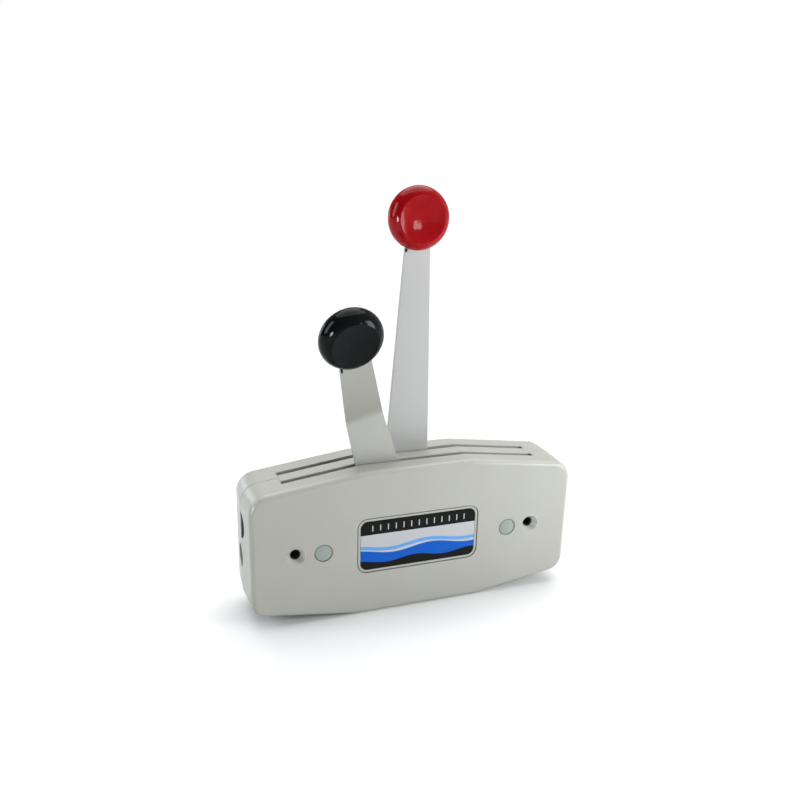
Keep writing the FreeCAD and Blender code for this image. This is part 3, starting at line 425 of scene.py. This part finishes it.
def label_finish():
    finish = Finish("label_print", IOR=1.5, Specular_IOR_Level=0.1)
    low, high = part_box("label_plate")
    across, _, up = finish.axes()
    half_length = (high.x - low.x) / 2 / MM
    bottom, top = low.z / MM, high.z / MM
    height = top - bottom

    def under(level, swing=0.0, length=1.0, shift=0.0):
        """1 below a wavy line that runs along the plate at a share of its height."""
        wave = (across * (math.tau / length) + shift).sine() * swing
        return up < wave + (bottom + level * height)

    art = WHITE
    for *line, colour in WAVES:
        art = finish.blend(under(*line), art, colour)
    art = finish.blend(1 - under(BAND_FOOT), art, BLACK)
    from_mark = abs((across + MARK_PITCH / 2).wrapped(MARK_PITCH) - MARK_PITCH / 2)
    on_scale = abs(across) < half_length - MARK_MARGIN
    marks = (from_mark < MARK_HALF_WIDTH) * on_scale * (1 - under(MARK_FOOT)) * under(MARK_TOP)
    art = finish.blend(marks, art, WHITE)
    print("label plate", round(2 * half_length, 1), "by", round(height, 1), "mm")
    return finish.wear(Base_Color=art, Roughness=0.28 + 0.06 * finish.noise(4),
                       Normal=finish.bump(finish.noise(14, 1.0), 0.05, rounded=0.15))


keep("label_print", label_finish())

# %% [markdown]
# ## Inner finishes
#
# Little of the inside shows, but the ports, the slots and the back of the
# housing give a view of it, so each metal and plastic there has its own finish:
# dull zinc, turned brass, fibre and nylon. The mounting sleeves are of a darker
# steel. A noise or two give each its colour, gloss and fine relief. Threads and
# tool marks could be drawn as well, but they wouldn't show from outside.


# %% Inner finishes
def zinc_finish(name, dark, light):
    finish = Finish(name, Metallic=1.0)
    spangle = finish.noise(1.8, detail=3.0)
    colour = finish.blend(spangle, dark, light)
    return finish.wear(Base_Color=colour, Roughness=0.3 + 0.15 * spangle,
                       Normal=finish.bump(spangle, 0.01, rounded=0.12))


def brass_finish():
    finish = Finish("brass", Metallic=1.0)
    turning = finish.noise(0.3, detail=2.0)
    tarnish = finish.noise(3, detail=3.0)
    colour = finish.blend(tarnish, paint(176, 142, 74), paint(212, 180, 104))
    return finish.wear(Base_Color=colour, Roughness=0.26 + 0.16 * tarnish,
                       Normal=finish.bump(turning, 0.01, rounded=0.12))


def fibre_finish():
    finish = Finish("friction_fibre")
    fleck = finish.noise(0.5, detail=4.0)
    colour = finish.blend(fleck, paint(98, 62, 44), paint(134, 92, 66))
    return finish.wear(Base_Color=colour, Roughness=0.8 + 0.1 * fleck,
                       Normal=finish.bump(fleck, 0.05))


def nylon_finish():
    finish = Finish("bush_nylon", Subsurface_Weight=0.2, Subsurface_Scale=2 * MM)
    speck = finish.noise(1.0, detail=2.0)
    colour = finish.blend(speck, paint(226, 222, 208), paint(236, 233, 222))
    return finish.wear(Base_Color=colour, Roughness=0.42 + 0.08 * speck,
                       Normal=finish.bump(speck, 0.02, rounded=0.15))


keep("zinc_steel", zinc_finish("zinc_steel", paint(166, 170, 174), paint(196, 199, 202)))
keep("brass", brass_finish())
keep("friction_fibre", fibre_finish())
keep("bush_nylon", nylon_finish())
sleeve_steel = zinc_finish("blackened_steel", paint(96, 98, 90), paint(116, 118, 108))

# %% [markdown]
# ## Dressing the solids
#
# Each measured solid names its finish in a material slot, so a loop over the
# slots dresses them all. Two solids get a finish other than the rest of their
# slot: the short lever, whose copy of the lever coat carries painted shade, and
# the mounting sleeves, of a darker steel. They get their own finish afterwards.

# %% Give every solid its finish
for solid in nodes.values():
    for holder in solid.material_slots:
        holder.material = finishes[holder.material.name.split(".")[0]].material
own_finishes = {"shift_lever": short_lever_shaded_coat, "mounting_sleeves": sleeve_steel}
for name, finish in own_finishes.items():
    for holder in nodes[name].material_slots:
        holder.material = finish.material
print(len(finishes) + len(own_finishes), "finishes on", len(nodes), "solids")

# %% [markdown]
# ## The wedges under the knobs
#
# Each knob is pushed over the narrow tang of its lever, and a small black wedge
# is put at the edge of the blade, just under the knob, where a dark mark shows.
# A block is scaled to the wedge's size, its lower end is drawn in, and its edges
# are bevelled. It is turned and moved in its mesh and not as an object, so its
# object stays at the origin like those of the solids, and it rides on the body of
# its lever.


# %% Knob wedges
WEDGE_FOOT = (0.6, 0.7, 1)
WEDGE_ROUNDING = 0.25
SHORT_BEND = math.radians(21.5)


def make_wedge(name, body, place, turn, size):
    """A wedge on a blade's face: its X runs across the blade and its Z up along it."""
    shape = bmesh.new()
    bmesh.ops.create_cube(shape, size=1)
    bmesh.ops.scale(shape, verts=shape.verts, vec=size)
    lower = [corner for corner in shape.verts if corner.co.z < 0]
    bmesh.ops.scale(shape, verts=lower, vec=WEDGE_FOOT)
    bmesh.ops.bevel(shape, geom=shape.edges[:], offset=WEDGE_ROUNDING, affect="EDGES",
                    segments=3, profile=0.5, material=-1)
    bmesh.ops.transform(shape, verts=shape.verts, matrix=turn)
    bmesh.ops.translate(shape, verts=shape.verts, vec=place)
    bmesh.ops.scale(shape, verts=shape.verts, vec=(MM, MM, MM))
    mesh = bpy.data.meshes.new(name)
    shape.to_mesh(mesh)
    shape.free()
    mesh.materials.append(finishes["black_plastic"].material)
    wedge = bpy.data.objects.new(name, mesh)
    bpy.context.scene.collection.objects.link(wedge)
    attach(wedge, body)
    print(name, "at", [round(number, 1) for number in place])


blade_turn = Matrix.Rotation(SHORT_LEAN, 3, "Y") @ Matrix.Rotation(SHORT_BEND, 3, "X")
make_wedge("throttle_knob_wedge", "throttle_arm", (-3.8, -16.8, 174.1), Matrix.Identity(3),
           (1.9, 0.9, 1.9))
make_wedge("shift_knob_wedge", "shift_arm", (-50.3, -45.2, 112.0), blade_turn, (1.5, 0.9, 2.8))

# %% [markdown]
# ## The camera
#
# The photograph looks down at the housing from its left. The place and the
# tilt below were worked out from the object's own corners and its real size.
# A square picture with an equal lens and film width gives the same angle. The
# camera is turned by its own three axes, because aiming it at a point would
# leave out its small tilt to the side.

# %% Camera
CAMERA_PLACE = Vector((-165.1, -457.9, 230.7)) * MM
CAMERA_RIGHT = Vector((0.9425, -0.3334, 0.0242))
CAMERA_UP = Vector((0.0784, 0.2908, 0.9536))
FILM_WIDTH = 36

camera_data = bpy.data.cameras.new("photo_camera")
camera_data.sensor_fit = "HORIZONTAL"
camera_data.sensor_width = FILM_WIDTH
camera_data.lens = FILM_WIDTH
camera_data.clip_start = 5 * MM
camera_data.clip_end = 20
camera = bpy.data.objects.new("photo_camera", camera_data)
right = CAMERA_RIGHT.normalized()
back = right.cross(CAMERA_UP).normalized()
camera_turn = Matrix((right, back.cross(right), back)).transposed()
camera.matrix_world = Matrix.Translation(CAMERA_PLACE) @ camera_turn.to_4x4()
bpy.context.scene.collection.objects.link(camera)
bpy.context.scene.camera = camera
print("camera", round(CAMERA_PLACE.length / MM), "mm from the wall face's middle")

# %% [markdown]
# ## Floor and light
#
# The photograph was taken against white, with soft light from above and behind,
# more of it from the right, and a cooler window on the left that shows on the
# end of the housing. A very wide sun is the ceiling, a sky that grows brighter
# towards the right fills in, and two lamps are the right side and the window.
# A lamp above would light the floor in one spot, and the sun does so evenly.
#
# Three more lamps show only as highlights on what is glossy. The floor is
# greyer near the object, where it would throw too much light up at it, and
# whiter far away, so that no horizon shows.


# %% Floor and light
FLOOR_RADIUS = 6
GREY_FLOOR, WHITE_FLOOR = 300, 1500     # mm from the middle
COOL, COOLER = (0.95, 0.98, 1.01), (0.90, 0.96, 1)


def make_floor():
    shape = bmesh.new()
    bmesh.ops.create_circle(shape, cap_ends=True, segments=96, radius=FLOOR_RADIUS)
    bmesh.ops.translate(shape, verts=shape.verts, vec=(0, 0, cad_box[0].z))
    mesh = bpy.data.meshes.new("floor")
    shape.to_mesh(mesh)
    shape.free()
    floor = bpy.data.objects.new("floor", mesh)
    bpy.context.scene.collection.objects.link(floor)
    finish = Finish("floor_white", Roughness=0.7)
    across, depth, _ = finish.axes()
    away = (across * across + depth * depth).root().between(GREY_FLOOR, WHITE_FLOOR)
    finish.wear(Base_Color=finish.blend(away, paint(222, 222, 222), paint(252, 252, 252)))
    mesh.materials.append(finish.material)


def make_lamp(name, place, size, power, colour, aim=(0, 0, 0.02), glint=False):
    """An area lamp. A glint shows only as a highlight in what is glossy."""
    lamp_data = bpy.data.lights.new(name, "AREA")
    lamp_data.shape = "RECTANGLE"
    lamp_data.size, lamp_data.size_y = size
    lamp_data.energy = power
    lamp_data.color = colour
    lamp = bpy.data.objects.new(name, lamp_data)
    lamp.location = place
    lamp.rotation_euler = (Vector(aim) - lamp.location).to_track_quat("-Z", "Y").to_euler()
    lamp.visible_diffuse = not glint
    lamp.visible_camera = False
    bpy.context.scene.collection.objects.link(lamp)


def make_sun(name, toward, strength, spread, colour):
    """A very large, very distant lamp: the same light all over the floor."""
    sun_data = bpy.data.lights.new(name, "SUN")
    sun_data.energy = strength
    sun_data.angle = math.radians(spread)
    sun_data.color = colour
    sun = bpy.data.objects.new(name, sun_data)
    sun.rotation_euler = Vector(toward).to_track_quat("Z", "Y").to_euler()
    bpy.context.scene.collection.objects.link(sun)


def make_sky(seen, left, right):
    """A sky that looks white to the camera, and lights the object more from the right."""
    world = bpy.data.worlds.new("studio")
    world.use_nodes = True
    tree = world.node_tree
    where = tree.nodes.new("ShaderNodeTexCoord")
    parts = tree.nodes.new("ShaderNodeSeparateXYZ")
    tree.links.new(where.outputs["Generated"], parts.inputs[0])
    graded = tree.nodes.new("ShaderNodeMapRange")
    tree.links.new(parts.outputs["X"], graded.inputs["Value"])
    for socket, number in (("From Min", -1), ("From Max", 1), ("To Min", left), ("To Max", right)):
        graded.inputs[socket].default_value = number
    paths = tree.nodes.new("ShaderNodeLightPath")
    strength = tree.nodes.new("ShaderNodeMapRange")
    tree.links.new(paths.outputs["Is Camera Ray"], strength.inputs["Value"])
    tree.links.new(graded.outputs["Result"], strength.inputs["To Min"])
    strength.inputs["To Max"].default_value = seen
    tree.links.new(strength.outputs["Result"], tree.nodes["Background"].inputs["Strength"])
    tree.nodes["Background"].inputs["Color"].default_value = (1, 1, 1, 1)
    bpy.context.scene.world = world


make_floor()
make_sky(seen=1.0, left=0.0, right=0.75)
make_sun("ceiling", (0.10, 0.32, 0.94), 2.8, 70, (1, 1, 1))
make_lamp("right_panel", (0.44, -0.36, 0.17), (0.22, 0.30), 2.95, COOL)
make_lamp("left_window", (-0.75, 0.05, 0.45), (0.30, 0.50), 3.3, COOLER)
make_lamp("left_glint", (-0.79, -0.58, 0.11), (0.20, 0.20), 7, COOLER,
          aim=(-0.06, -0.06, 0.137), glint=True)
make_lamp("right_glint", (0.404, -0.825, 0.195), (0.05, 0.09), 0.35, (1, 0.96, 0.97),
          aim=(0, -0.02, 0.188), glint=True)
make_lamp("window_glint", (-0.505, 0.75, 0.22), (0.22, 0.28), 0.8, (0.85, 0.93, 1),
          aim=(-0.1, -0.03, 0.037), glint=True)
bpy.context.scene.view_settings.view_transform = "Standard"
lamps = [thing.name for thing in bpy.context.scene.objects if thing.type == "LIGHT"]
print(len(lamps), "lamps:", ", ".join(lamps))
